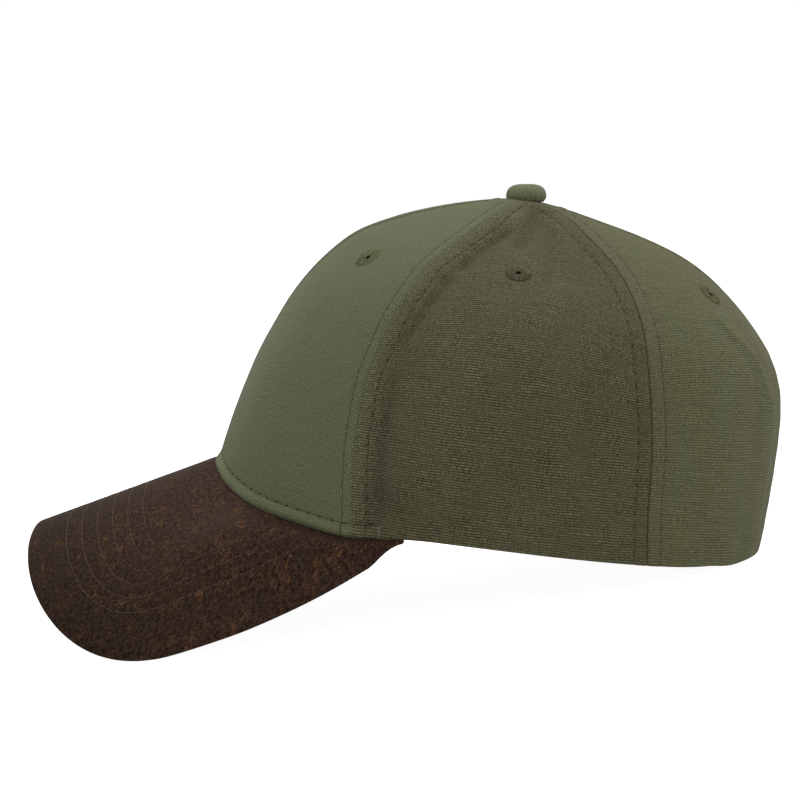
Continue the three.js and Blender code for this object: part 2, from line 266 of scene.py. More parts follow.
def read_table(rows, place):
    """A smooth curve through the rows of a table, at places counted in rows"""
    last = len(rows) - 1
    spot = np.clip(place, 0, last)
    index = np.minimum(np.floor(spot).astype(int), last - 1)
    t = (spot - index)[..., None]
    a, b, c, d = (rows[np.clip(index + step, 0, last)] for step in (-1, 0, 1, 2))
    return b + 0.5 * t * (c - a + t * (2 * a - 5 * b + 4 * c - d + t * (3 * (b - c) + d - a)))


def find_place(rows, column, value):
    """The places in a table at which a rising column has these values"""
    value = np.asarray(value, float)
    low = np.zeros(value.shape)
    high = np.full(value.shape, len(rows) - 1.0)
    for _ in range(30):
        middle = (low + high) / 2
        below = read_table(rows, middle)[..., column] < value
        low = np.where(below, middle, low)
        high = np.where(below, high, middle)
    return (low + high) / 2


def rim_place(degrees):
    height = read_table(RIM, find_place(RIM, 0, np.abs(degrees)))[..., 1]
    return find_place(LEVELS, HEIGHT, height)


def crown_point(degrees, place):
    """The crown before its folds: a level is two half ovals, one to the front and one to the back"""
    degrees, place = np.broadcast_arrays(degrees, place)
    row = read_table(LEVELS, place)
    turn = np.radians(degrees)
    reach = np.where(np.cos(turn) > 0, row[..., FRONT], row[..., BACK])
    x = row[..., SIDE] * np.sin(turn)
    y = AXIS_Y - reach * np.cos(turn)
    return np.stack((x, y, row[..., HEIGHT]), axis=-1)


def crown_normal(degrees, place):
    across = crown_point(degrees + 0.5, place) - crown_point(degrees - 0.5, place)
    up = crown_point(degrees, place + 0.1) - crown_point(degrees, place - 0.1)
    return unit(np.cross(across, up))


def fold_height(points, folds):
    height = np.zeros(points.shape[:-1])
    for start, end, depth, width in folds:
        places = find_place(LEVELS, HEIGHT, [start[1], end[1]])
        first, last = crown_point(np.array([start[0], end[0]]), places)
        chord = last - first
        t = np.clip((points - first) @ chord / (chord @ chord), 0, 1)
        nearest = crown_point(lerp(start[0], end[0], t), lerp(places[0], places[1], t))
        gap = np.linalg.norm(nearest - points, axis=-1)
        height += depth * np.exp(-((gap / width) ** 2))
    return height


def flare_height(degrees, above_rim):
    """The rim turns outwards over the peak, lowest down at the front"""
    height = lerp(*FLARE_HEIGHT, smoothstep(degrees, 2, 18))
    return FLARE * (1 - smoothstep(degrees, *FLARE_END)) * np.exp(-((above_rim / height) ** 2))


def path_lengths(points, axis):
    """Length along each line of a grid of points, from its start"""
    steps = np.linalg.norm(np.diff(points, axis=axis), axis=-1)
    return np.concatenate((np.zeros_like(np.take(steps, [0], axis)), np.cumsum(steps, axis)), axis)


def to_rest(points):
    """From millimetres in the crown's frame to metres in the row's frame"""
    x, y, z = points[..., 0], points[..., 1], points[..., 2]
    turned_y = y * cos(REST_TILT) - z * sin(REST_TILT)
    turned_z = y * sin(REST_TILT) + z * cos(REST_TILT)
    return (np.stack((x, turned_y, turned_z), axis=-1) + REST_PLACE) * MM


def turn_to_rest(vectors):
    return (to_rest(vectors) - to_rest(np.zeros(3))) / MM


class PanelCut:
    """One panel of the wearer's left half as grids: columns from seam to seam, rows from rim to top"""

    def __init__(self, name):
        self.name = name
        facts = PANELS[name]
        self.start, self.end, self.slack = facts["start"], facts["end"], facts["slack"]
        self.stitch_gaps, self.grooves = facts["stitch_gaps"], facts["grooves"]
        low = read_table(LEVELS, np.array(0.5))
        samples = np.linspace(0, 1, SAMPLES_ACROSS)
        bottom = rim_place(lerp(self.start(low), self.end(low), samples))
        ups = np.linspace(0, 1, SAMPLES_UP)
        upright = self.base(samples[:, None], bottom[:, None], ups[None, :])[0]
        rises = path_lengths(upright, 1)
        above = (np.arange(UPPER_ROWS) + 1) / UPPER_ROWS
        self.row_count = len(HEM_ROWS) + UPPER_ROWS
        climb = np.empty((len(samples), self.row_count))
        climb[:, :len(HEM_ROWS)] = HEM_ROWS
        climb[:, len(HEM_ROWS):] = lerp(HEM_ROWS[-1], rises[:, -1:], above)
        up = np.array([np.interp(climb[k], rises[k], ups) for k in range(len(samples))])
        lines = self.base(samples[:, None], bottom[:, None], up)[0]
        widths = path_lengths(lines, 0)
        edges = [np.array(SEAM_COLUMNS + [gap + step for step in STITCH_COLUMNS])
                 for gap in self.stitch_gaps]
        self.column_count = 2 * len(edges[0]) + MIDDLE_COLUMNS
        shape = (self.column_count, self.row_count)
        self.from_start, self.across = np.empty(shape), np.empty(shape)
        self.climb, rise_up = np.empty(shape), np.empty(shape)
        self.width = widths[-1]
        for j in range(self.row_count):
            near, far = (edge * min(1, self.width[j] * EDGE_SHARE / edge[-1]) for edge in edges)
            middle = np.linspace(near[-1], self.width[j] - far[-1], MIDDLE_COLUMNS + 2)[1:-1]
            self.from_start[:, j] = np.concatenate((near, middle, self.width[j] - far[::-1]))
            self.across[:, j] = np.interp(self.from_start[:, j], widths[:, j], samples)
            self.climb[:, j] = np.interp(self.across[:, j], samples, climb[:, j])
            rise_up[:, j] = np.interp(self.across[:, j], samples, up[:, j])
        floor_place = np.interp(self.across, samples, bottom)
        self.flat, self.degrees, self.place = self.base(self.across, floor_place, rise_up)
        self.normal = crown_normal(self.degrees, self.place)
        self.shape_skins(floor_place)

    def base(self, across, bottom, up):
        """Points of the unfolded crown, with their degrees and places"""
        place = lerp(bottom, TOP, up)
        row = read_table(LEVELS, place)
        degrees = lerp(self.start(row), self.end(row), across)
        return crown_point(degrees, place), degrees, place

    def seam_relief(self):
        """Edges rolled into the seam, the ridge of the seam allowance and the groove of the topstitching"""
        height = np.zeros(self.flat.shape[:2])
        narrow = smoothstep(self.width, *SEAM_FADE)
        gaps = (self.from_start, self.width - self.from_start)
        for gap, stitch, groove in zip(gaps, self.stitch_gaps, self.grooves):
            rolled = np.clip(1 - gap / SEAM_ROLL, 0, 1)
            height -= groove * (1 - np.sqrt(1 - rolled ** 2))
            ridge = smoothstep(gap, 0, 1.2) * (1 - smoothstep(gap, stitch - 0.8, stitch + 0.3))
            height += narrow * SEAM_RIDGE * ridge
            height -= narrow * STITCH_GROOVE * bump_at(gap, stitch, 0.5)
            pucker = np.sin(self.climb * 2 * pi / PUCKER_PITCH + 1.3 * np.sin(self.climb / 11))
            height += narrow * PUCKER * pucker * bump_at(gap, stitch + 1.5, 3)
        return height

    def over_peak(self):
        return 1 - smoothstep(self.degrees, HEM_STITCH_END - 3, HEM_STITCH_END + 2)

    def hem_puff(self):
        """Share of its full puff that the hem has over the peak, below its topstitching"""
        below_stitch = 1 - smoothstep(self.climb, 3.2, HEM_STITCH)
        return self.over_peak() * smoothstep(self.climb, 0.2, 2) * below_stitch

    def hem_relief(self):
        """Over the peak, the hem puffs out below its topstitching, least at the front"""
        puff = PUFF * self.hem_puff() * (0.3 + 0.7 * smoothstep(self.degrees, 2, 16))
        return puff - self.over_peak() * STITCH_GROOVE * bump_at(self.climb, HEM_STITCH, 0.4)

    def shape_skins(self, bottom):
        row_height = read_table(LEVELS, self.place)[..., HEIGHT]
        above_rim = row_height - read_table(LEVELS, bottom)[..., HEIGHT]
        sag = read_table(LEVELS, self.place)[..., SAG] * self.slack * 4 * self.across * (1 - self.across)
        lift = fold_height(self.flat, FOLDS + CREASES) + flare_height(self.degrees, above_rim) - sag
        relief = self.seam_relief() + self.hem_relief()
        hemmed = 1 - smoothstep(self.climb, HEM_HEIGHT - HEM_STEP, HEM_HEIGHT + HEM_STEP)
        wall = CROWN_WALL + HEM_EXTRA * hemmed
        fold = np.clip(1 - self.climb / HEM_ROUND, 0, 1)
        rounding = HEM_SHARPEN * (1 - np.sqrt(1 - fold ** 2)) * wall
        self.outer = self.flat + self.normal * (lift + relief - rounding)[..., None]
        self.inner = self.flat + self.normal * (lift - wall + rounding)[..., None]
        rest = to_rest(self.outer[:, 0])[:, 2] / MM
        lower = rest * (1 - smoothstep(rest, 0, HEM_REST))
        fade = 1 - smoothstep(self.climb, 0, HEM_REST_FADE)
        for skin in (self.outer, self.inner):
            skin[..., 2] -= lower[:, None] * fade / cos(REST_TILT)

    def seam_line(self, side):
        """Points and normals along one seam's topstitching, from the rim up"""
        column = SEAM_COLUMN if side == 0 else self.column_count - 1 - SEAM_COLUMN
        return self.outer[column], self.normal[column]

    def cloth_map(self):
        """Metres across and along the cloth, with the threads square to the panel's middle"""
        middle = self.column_count // 2
        spine = path_lengths(self.flat[middle][None], 1)[0]
        order = np.argsort(self.place[middle])
        along = np.interp(self.place, self.place[middle][order], spine[order])
        below = np.minimum(self.place - self.place[middle].min(), 0)
        along += below * (LEVELS[1, HEIGHT] - LEVELS[0, HEIGHT])
        sideways = self.from_start - self.width / 2
        radius = np.linalg.norm((self.flat[middle] - (0, AXIS_Y, 0))[:, :2], axis=-1)
        narrowing = -np.gradient(radius, spine)
        bow = np.clip(narrowing / np.maximum(radius, 8), 0, 0.03)
        return np.stack((sideways, along + 0.5 * bow * sideways ** 2), axis=-1) * MM

    def seam_map(self):
        """Metres outwards from the nearest seam's topstitching, and along it"""
        lengths = [path_lengths(self.seam_line(side)[0][None], 1)[0] for side in (0, 1)]
        first, last = self.stitch_gaps
        gaps = (self.from_start - first, self.width - self.from_start - last)
        near_start = np.arange(self.column_count)[:, None] < self.column_count // 2
        along = np.where(near_start, lengths[0], lengths[1])
        return np.stack((np.where(near_start, *gaps), along), axis=-1) * MM

    def painted_shade_map(self):
        """Metres that the cloth is raised by its folds and puffed hem, or sunk at its rolled edges, which the
        canvas paints as shade in valleys and seams and as a highlight on ridges and the hem
        """
        height = fold_height(self.flat, FOLDS + CREASES) + HEM_PAINTED_HIGHLIGHT * self.hem_puff()
        for gap, groove in zip((self.from_start, self.width - self.from_start), self.grooves):
            height -= 3 * groove * bump_at(gap, 0, 0.4)
        return np.stack((height, 0 * height), axis=-1) * MM

    def hem_map(self, before):
        """Metres above the hem's topstitching, and along it, where before is its length up to here"""
        line = path_lengths(self.outer[:, HEM_ROW][None], 1)[0] + before
        stitched = self.degrees < HEM_STITCH_END
        above = np.where(stitched, self.climb - HEM_STITCH, 100)
        return np.stack((above, np.broadcast_to(line[:, None], above.shape)), axis=-1) * MM


def write_uvs(bm, places):
    """Gives each corner the UV pairs of its vertex, from one dictionary for each vertex"""
    layers = {key: bm.loops.layers.uv.new(key) for key in places[0]}
    bm.verts.index_update()
    for face in bm.faces:
        for loop in face.loops:
            for key, layer in layers.items():
                loop[layer].uv = places[loop.vert.index][key]


def new_object(name, bm, material):
    for face in bm.faces:
        face.smooth = True
    mesh = bpy.data.meshes.new(name)
    bm.to_mesh(mesh)
    bm.free()
    mesh.materials.append(material)
    piece = bpy.data.objects.new(name, mesh)
    bpy.context.scene.collection.objects.link(piece)
    return piece


def bend_slab(name, outer, inner, maps, material):
    """A flat slab one cell thick, bent so that its faces lie on two grids of points"""
    columns, rows = outer.shape[0] - 1, outer.shape[1] - 1
    bm = bmesh.new()
    bmesh.ops.create_grid(bm, x_segments=columns, y_segments=rows, size=0.5)
    bmesh.ops.solidify(bm, geom=bm.faces[:], thickness=1)
    top = max(vert.co.z for vert in bm.verts)
    skins = (to_rest(outer), to_rest(inner))
    for skin in skins:
        skin[..., 2] = np.maximum(skin[..., 2], 0)
    places = []
    for vert in bm.verts:
        i = round((vert.co.x + 0.5) * columns)
        j = round((vert.co.y + 0.5) * rows)
        places.append({key: grid[i, j] for key, grid in maps.items()})
        vert.co = skins[0 if vert.co.z > top - 0.5 else 1][i, j]
    write_uvs(bm, places)
    if bm.calc_volume(signed=True) < 0:
        bmesh.ops.reverse_faces(bm, faces=bm.faces[:])
    return new_object(name, bm, material)


def mirrored(points):
    return points * (-1, 1, 1)


def srgb(code):
    """Linear colour of an sRGB hex code"""
    parts = [int(code[k:k + 2], 16) / 255 for k in (1, 3, 5)]
    return tuple(p / 12.92 if p <= 0.04045 else ((p + 0.055) / 1.055) ** 2.4 for p in parts) + (1,)


# The sockets that a Mix node has for colours
FACTOR, COLOUR_A, COLOUR_B, COLOUR_OUT = 0, 6, 7, 2


class NewMaterial:
    """An empty material. Calling it, or one of its methods, adds a shader node to its tree."""

    def __init__(self, name):
        self.material = bpy.data.materials.new(name)
        self.material.use_nodes = True
        self.tree = self.material.node_tree
        self.tree.nodes.clear()

    def __call__(self, kind, inputs=None, **settings):
        """Any kind of node with its values, links and settings. A node as an input gives its first output."""
        node = self.tree.nodes.new("ShaderNode" + kind)
        for key, value in settings.items():
            setattr(node, key, value)
        for key, value in (inputs or {}).items():
            if isinstance(value, bpy.types.Node):
                value = value.outputs[0]
            if isinstance(value, bpy.types.NodeSocket):
                self.tree.links.new(value, node.inputs[key])
            else:
                node.inputs[key].default_value = value
        return node

    def math(self, operation, *values):
        return self("Math", dict(enumerate(values)), operation=operation)

    def remap(self, value, low, high, start=0, end=1, **settings):
        """The value that runs from start to end while another runs from low to high"""
        ends = {"Value": value, "From Min": low, "From Max": high, "To Min": start, "To Max": end}
        return self("MapRange", ends, **settings)

    def ease(self, value, low, high, start=0, end=1):
        return self.remap(value, low, high, start, end, interpolation_type="SMOOTHSTEP")

    def noise(self, place, scale, detail=2, **inputs):
        return self("TexNoise", {"Vector": place, "Scale": scale, "Detail": detail, **inputs})

    def mix(self, share, first, second):
        """A colour between two others"""
        inputs = {FACTOR: share, COLOUR_A: first, COLOUR_B: second}
        return self("Mix", inputs, data_type="RGBA").outputs[COLOUR_OUT]

    def surface(self, inputs):
        """Gives the material its surface and hands it over"""
        self("OutputMaterial", {"Surface": self("BsdfPrincipled", inputs)})
        return self.material


def make_canvas(name, green, brown, edge, ribs, streaks, cloth):
    """Cotton canvas, plain woven with a thick weft: fine beaded ribs across each panel, matt and fuzzy"""
    add = NewMaterial(name)
    place = add("UVMap", uv_map="cloth")
    scaled = add("Mapping", {"Vector": place, "Scale": (1000, 1000, 1000)})
    wander = add.noise(scaled, 0.09, 2)
    drawn = add("VectorMath", {0: wander.outputs["Color"], 1: (1.2, 1.2, 0)}, operation="MULTIPLY")
    threads = add("VectorMath", {0: scaled, 1: drawn})
    parts = add("SeparateXYZ", {0: threads})
    # Each rib is one weft thread, which shows as beads about 0.5 mm long between the warp threads
    rows = add.math("DIVIDE", parts.outputs[1], cloth.rib_pitch / MM)
    ridge = add.math("PINGPONG", rows, 0.5)
    rib = add.ease(ridge, 0.03, 0.36, 0.18, 1.46)
    row = add.math("FLOOR", rows)
    apart = add.math("MULTIPLY", row, 7.3)
    spot = add("CombineXYZ", {0: parts, 1: apart})
    beads = add.noise(spot, 2.1, 1)
    bead = add.remap(beads, 0.36, 0.64, 0.5, 1.5)
    weave = add.math("MULTIPLY", rib, bead)
    strength = add.remap(wander, 0.35, 0.65, 0.45 * cloth.rib_contrast, cloth.rib_contrast)
    # Pressed over the allowance of a seam, smooth cloth shows its ribs too
    near = add("UVMap", uv_map="seam")
    gap = add("SeparateXYZ", {0: near})
    pressed = add.remap(gap, 0, 0.002, max(ribs, 0.55), ribs)
    contrast = add.math("MULTIPLY", strength, pressed)
    change = add.math("SUBTRACT", weave, 1.0)
    yarn = add.math("MULTIPLY_ADD", change, contrast, 1.0)
    # Some weft threads are lighter or darker than the next all the way across
    stretched = add("Mapping", {"Vector": threads, "Scale": (0.045, 1, 1)})
    weft = add.noise(stretched, 1.1, 3)
    upright = add("Mapping", {"Vector": threads, "Scale": (1, 0.7, 1)})
    fuzz = add.noise(upright, 1.6, 3)
    uneven = add.math("MULTIPLY_ADD", weft, streaks, fuzz)
    middle = 0.5 + 0.5 * streaks
    tone = add.remap(uneven, middle - 0.2, middle + 0.2, 0.72, 1.28)
    # The dye took unevenly, in soft bands up the panel
    banded = add("Mapping", {"Vector": scaled, "Scale": (1, 0.35, 1)})
    dye = add.noise(banded, 0.07, 4, Roughness=0.6)
    patch = add.ease(dye, 0.36, 0.64)
    hue = add.mix(patch, srgb(green), srgb(brown))
    # Up to about 6 mm from its front seam the cloth has its neighbour's colour, fading out by 11 mm; on the
    # side panel this band is also painted lighter, a painted highlight on the ridge before the crease behind
    # the seam
    inwards = add.ease(gap, 0.001, 0.006)
    across = add("SeparateXYZ", {0: place})
    rear = add.remap(across, -0.005, 0.005)
    away = add.math("MAXIMUM", inwards, rear)
    dye_and_ridge_highlight = add.mix(away, srgb(edge), hue)
    # Painted shade in the valleys and along the seams, and a painted highlight on the ridges and the puffed hem
    relief = add("UVMap", uv_map="fold")
    height = add("SeparateXYZ", {0: relief})
    valley = add.remap(height, -0.0028, 0.0008, 0.77, 1.07, clamp=False)
    sewn = add.math("MULTIPLY", valley, stitch_shade(add))
    shade = add.math("MULTIPLY", tone, sewn)
    total = add.math("MULTIPLY", yarn, shade)
    final = add("VectorMath", {0: dye_and_ridge_highlight, "Scale": total}, operation="SCALE")
    rough = add.math("ADD", weave, fuzz)
    bump = add("Bump", {"Strength": 0.2 + 0.4 * ribs, "Distance": 0.00025, "Height": rough})
    return add.surface({
        "Base Color": final, "Roughness": 0.9, "Specular IOR Level": 0.06,
        "Sheen Weight": 0.06, "Sheen Roughness": 0.5, "Sheen Tint": (0.75, 0.8, 0.62, 1),
        "Normal": bump,
    })


def stitch_shade(add):
    """Shade along both rows of topstitching, darkest where the needle went through between two stitches"""
    shades = []
    for key, line, needle in (("seam", 0.2, 0.55), ("hem", 0.14, 0.75)):
        place = add("UVMap", uv_map=key)
        parts = add("SeparateXYZ", {0: place})
        gap = add.math("ABSOLUTE", parts)
        groove = add.ease(gap, 0.0001, 0.0005, 1, 0)
        spacing = bpy.context.scene.cap_thread.seam_pitch
        between = add.math("PINGPONG", parts.outputs[1], spacing / 2)
        hole = add.ease(between, 0.0005, 0.0009, needle, line)
        depth = add.math("MULTIPLY", groove, hole)
        shades.append(add.math("SUBTRACT", 1.0, depth))
    return add.math("MULTIPLY", *shades)


def make_thread(name, colour):
    """Spun polyester sewing thread, two plies twisted: a slight sheen along its turns"""
    add = NewMaterial(name)
    place = add("UVMap", uv_map="thread")
    scaled = add("Mapping", {"Vector": place, "Scale": (1000, 1000, 1000), "Rotation": (0, 0, radians(35))})
    plies = add("TexWave", {"Vector": scaled, "Scale": 0.9, "Distortion": 0.6, "Detail": 1})
    tone = add("MapRange", {"Value": plies.outputs["Fac"], "To Min": 0.75, "To Max": 1.15})
    final = add("VectorMath", {0: srgb(colour)[:3], "Scale": tone}, operation="SCALE")
    bump = add("Bump", {"Strength": 0.5, "Distance": 0.0001, "Height": plies.outputs["Fac"]})
    return add.surface({
        "Base Color": final, "Roughness": 0.75, "Specular IOR Level": 0.08,
        "Sheen Weight": 0.05, "Normal": bump,
    })


def make_satin(name, colour, depth):
    """Embroidery thread wound side by side round a hole: fine turns, with painted shade in the gaps between
    them and a painted shadow along the outer edge, strongest on the lower half, and a middle painted dark for
    the shade inside the hole
    """
    add = NewMaterial(name)
    place = add("UVMap", uv_map="satin")
    parts = add("SeparateXYZ", {0: place})
    # Painted shade between the turns and a painted shadow at the ring's outer edge, strongest on its lower half
    # as if lit from above
    turn = add.math("PINGPONG", parts, 0.5)
    gap = add.ease(turn, 0.12, 0.4, 1.25, 0.05)
    cloth = add("TexCoord")
    loose = add.noise(cloth.outputs["Object"], 900, 3)
    tone = add.remap(loose, 0.35, 0.65, 0.6, 1.35)
    shaded_edge_reach = add.math("MULTIPLY_ADD", loose, 0.3, parts.outputs[1])
    rim = add.ease(shaded_edge_reach, 1.04, 1.12, 1, 0.25)
    dark = add.math("MULTIPLY", gap, rim)
    hang = add("UVMap", uv_map="hang")
    height = add("SeparateXYZ", {0: hang})
    lower = add.ease(height, -0.3, 0.2, depth, 0.12 * depth)
    change = add.math("SUBTRACT", dark, 1.0)
    wound = add.math("MULTIPLY_ADD", change, lower, 1.0)
    # Painted shade: the middle of the dimple is painted nearly black for the shade inside the hole
    hole = add.ease(parts.outputs[1], 0.13, 0.27, 0.02, 1)
    shade = add.math("MULTIPLY", wound, hole)
    total = add.math("MULTIPLY", shade, tone)
    final = add("VectorMath", {0: srgb(colour)[:3], "Scale": total}, operation="SCALE")
    bump = add("Bump", {"Strength": 0.5, "Distance": 0.0002, "Height": total})
    return add.surface({
        "Base Color": final, "Roughness": 0.9, "Specular IOR Level": 0.03, "Normal": bump,
    })


def make_leather(name, colours):
    """Oiled split leather, worn: dark brown with rusty blotches, pale scuffs along the peak and a fine nap"""
    add = NewMaterial(name)
    place = add("UVMap", uv_map="hide")
    scaled = add("Mapping", {"Vector": place, "Scale": (1000, 1000, 1000)})
    blotch = add.noise(scaled, 0.12, 10, Roughness=0.85, Distortion=0.3)
    rust = add.ease(blotch, 0.51, 0.68, 0, 0.85)
    wax = add.ease(blotch, 0.3, 0.46, 0.65, 0)
    base = add.mix(rust, (*colours.leather, 1), (*colours.rust, 1))
    cool = add.mix(wax, base, srgb("#1f1b18"))
    # Scuffs about 8 mm long and 1 mm wide run from the crown to the edge
    combed = add("Mapping", {"Vector": scaled, "Scale": (1.1, 0.12, 1)})
    scuff = add.noise(combed, 1, 5, Roughness=0.65)
    pale = add.ease(scuff, 0.56, 0.72, 0, 0.5)
    worn = add.mix(pale, cool, srgb("#503a2f"))
    # The nap's finest hairs are drawn at 0.5 mm, as coarse as they need to show
    nap = add.noise(scaled, 2, 3, Roughness=0.7)
    grain = add.noise(scaled, 0.7, 4, Roughness=0.75)
    rough = add.math("ADD", nap, grain)
    tone = add.remap(rough, 0.88, 1.12, 0.28, 1.72)
    # Painted shade: paler along the crest than down its sides and at its nose
    across = add("SeparateXYZ", {0: place})
    beside = add.math("ABSOLUTE", across)
    painted_side_shade = add.remap(beside, 0.045, 0.09, 1, 0.74)
    nose = add.remap(across.outputs[1], -0.18, -0.11, 0.7, 1.13)
    spread = add.math("MULTIPLY", painted_side_shade, nose)
    shade = add.math("MULTIPLY", tone, spread)
    final = add("VectorMath", {0: worn, "Scale": shade}, operation="SCALE")
    gloss = add.remap(blotch, 0.3, 0.7, 0.6, 0.8)
    bump = add("Bump", {"Strength": 0.35, "Distance": 0.0002, "Height": rough})
    return add.surface({
        "Base Color": final, "Roughness": gloss, "Specular IOR Level": 0.03, "Normal": bump,
    })


def stitch_template(length, width):
    """One stitch lying along X, its ends dipping into the cloth, in millimetres"""
    bm = bmesh.new()
    bmesh.ops.create_uvsphere(bm, u_segments=6, v_segments=8, radius=1)
    places = []
    for vert in bm.verts:
        side, rise, along = vert.co
        fill = (side * side + rise * rise) ** 0.25
        fill = 1 / fill if fill > 0 else 0
        turn = np.arctan2(rise, side)
        places.append({"thread": (along * length / 2 * MM, turn * width / 2 * MM)})
        dip = STITCH_DIP * width * along ** 4
        vert.co = (along * length / 2, side * fill * width / 2, rise * fill * width / 2 - dip)
    write_uvs(bm, places)
    bmesh.ops.recalc_face_normals(bm, faces=bm.faces[:])
    mesh = bpy.data.meshes.new("stitch_template")
    bm.to_mesh(mesh)
    bm.free()
    return mesh


def stamp_stitches(bm, template, points, normals, pitch, sink):
    """Copies a stitch along a line of points, the middle of the first one half a pitch in"""
    lengths = path_lengths(points[None], 1)[0]
    places = np.arange(0.5 * pitch, lengths[-1] - 0.3 * pitch, pitch)
    for place in places:
        spots = [np.array([np.interp(place + step, lengths, points[:, k]) for k in range(3)])
                 for step in (-0.5, 0, 0.5)]
        normal = unit(np.array([np.interp(place, lengths, normals[:, k]) for k in range(3)]))
        along = unit(spots[2] - spots[0])
        normal = unit(normal - along * (normal @ along))
        side = np.cross(normal, along)
        where = spots[1] + normal * sink
        columns = [turn_to_rest(axis) * MM for axis in (along, side, normal)] + [to_rest(where)]
        matrix = Matrix([[*(columns[k][row] for k in range(4))] for row in range(3)] + [[0, 0, 0, 1]])
        copy = template.copy()
        copy.transform(matrix)
        bm.from_mesh(copy)
        bpy.data.meshes.remove(copy)


# Canvas: green, brown, the colour next to the front seam, how strong the ribs and the streaks are
CANVAS = {
    "front": ("#474a36", "#484a36", "#474a36", 0.18, 0.1),
    # The side's colour next to its front seam is lighter: a painted highlight on the ridge there
    "side": ("#41402e", "#413d2b", "#464633", 1, 0.4),
    "back": ("#464833", "#484530", "#474532", 0.7, 0.35),
    # The button's canvas is lighter than the front's: a painted highlight for the light on its upward face
    "button": ("#535741", "#525641", "#535741", 0.3, 0.2),
}
# Satin stitch of the eyelets: its colour and how dark the painted shade in the gaps between its turns is, which
# differs from eyelet to eyelet
SATIN = {"front": ("#494d38", 0.32), "side": ("#474533", 0.85), "back": ("#494935", 0.2)}
THREADS = {"thread_olive": "#43442f", "thread_pale": "#5a5c47", "thread_brown": "#45352a"}

CUTS = {}
MATERIALS = {}


def finish_piece(piece, slot, *nodes):
    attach(piece, "root")
    if nodes:
        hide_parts(*nodes)


def both_sides(first, second):
    """Two arrays of points or normals as they are on the wearer's left, and mirrored for the right"""
    return [("left", first, second), ("right", mirrored(first), mirrored(second))]


class CapCloth(bpy.types.PropertyGroup):
    """The ribs of the crown's canvas"""

    rib_pitch: FloatProperty(
        name="Rib pitch", description="Distance between two ribs of the canvas", default=0.00098,
        min=0.0003, max=0.004, unit="LENGTH", precision=5)
    rib_contrast: FloatProperty(
        name="Rib contrast", description="How strongly single threads differ in tone", default=0.8,
        min=0, max=1, subtype="FACTOR")


class CapThread(bpy.types.PropertyGroup):
    """Sizes of the stitching"""

    seam_pitch: FloatProperty(
        name="Seam stitch", description="Distance between two needle holes in the crown", default=0.005,
        min=0.002, max=0.01, unit="LENGTH", precision=4)
    row_pitch: FloatProperty(
        name="Peak stitch", description="Distance between two needle holes in the peak", default=0.0034,
        min=0.002, max=0.01, unit="LENGTH", precision=4)
    diameter: FloatProperty(
        name="Thread", description="Diameter of the sewing thread", default=0.0004,
        min=0.0002, max=0.001, unit="LENGTH", precision=5)


class CapPeak(bpy.types.PropertyGroup):
    """Colours of the peak's leather and the rows sewn round it"""

    leather: FloatVectorProperty(
        name="Leather", description="Dark brown of the hide", default=srgb("#2a1e17")[:3],
        min=0, max=1, subtype="COLOR")
    rust: FloatVectorProperty(
        name="Rust", description="Where the hide's finish is rubbed through", default=srgb("#50361f")[:3],
        min=0, max=1, subtype="COLOR")
    rows: IntProperty(name="Rows", description="Rows of stitching on the peak", default=6, min=0, max=8)
    row_gap: FloatProperty(
        name="Row gap", description="Distance between two rows of stitching", default=0.006,
        min=0.003, max=0.01, unit="LENGTH", precision=4)
    row_inset: FloatProperty(
        name="Row inset", description="Distance from the edge to the outer row", default=0.0147,
        min=0.003, max=0.03, unit="LENGTH", precision=4)


class CapStage(bpy.types.PropertyGroup):
    """The studio round the cap"""

    floor_tone: FloatProperty(
        name="Floor", description="How light the floor is", default=0.3, min=0, max=1, subtype="FACTOR")
    ambient: FloatProperty(
        name="Ambient", description="Strength of the white surroundings", default=1.0, min=0, max=5)
    overhead: FloatProperty(
        name="Overhead light", description="Power of the softbox above the cap", default=14,
        min=0, max=500, unit="POWER")
    rear: FloatProperty(
        name="Rear light", description="Power of the softbox behind the crown", default=3,
        min=0, max=500, unit="POWER")
    front: FloatProperty(
        name="Front light", description="Power of the softbox before the peak", default=3,
        min=0, max=500, unit="POWER")


class CAP_OT_materials(bpy.types.Operator):
    """Make the canvas, thread and leather"""

    bl_idname = "cap.make_materials"
    bl_label = "Materials"

    def execute(self, context):
        for name, facts in CANVAS.items():
            MATERIALS[name] = make_canvas(f"canvas_{name}", *facts, context.scene.cap_cloth)
        for name, (colour, depth) in SATIN.items():
            MATERIALS[f"satin_{name}"] = make_satin(f"satin_{name}", colour, depth)
        for name, colour in THREADS.items():
            MATERIALS[name] = make_thread(name, colour)
        MATERIALS["leather"] = make_leather("oiled_leather", context.scene.cap_peak)
        return {"FINISHED"}


class CAP_OT_crown(bpy.types.Operator):
    """Make the six canvas panels, hemmed and seamed"""

    bl_idname = "cap.make_crown"
    bl_label = "Crown"

    def execute(self, context):
        before = 0
        for name in PANELS:
            cut = PanelCut(name)
            CUTS[name] = cut
            maps = {
                "cloth": cut.cloth_map(), "seam": cut.seam_map(), "hem": cut.hem_map(before),
                # The fold map carries the painted shade of valleys and seams and the painted highlight of the
                # hem
                "fold": cut.painted_shade_map(),
            }
            before += path_lengths(cut.outer[:, HEM_ROW][None], 1)[0][-1]
            for side, outer, inner in both_sides(cut.outer, cut.inner):
                piece = bend_slab(f"{name}_canvas_{side}", outer, inner, maps, MATERIALS[name])
                finish_piece(piece, "crown_canvas", f"{name}_panel_{side}")
        return {"FINISHED"}


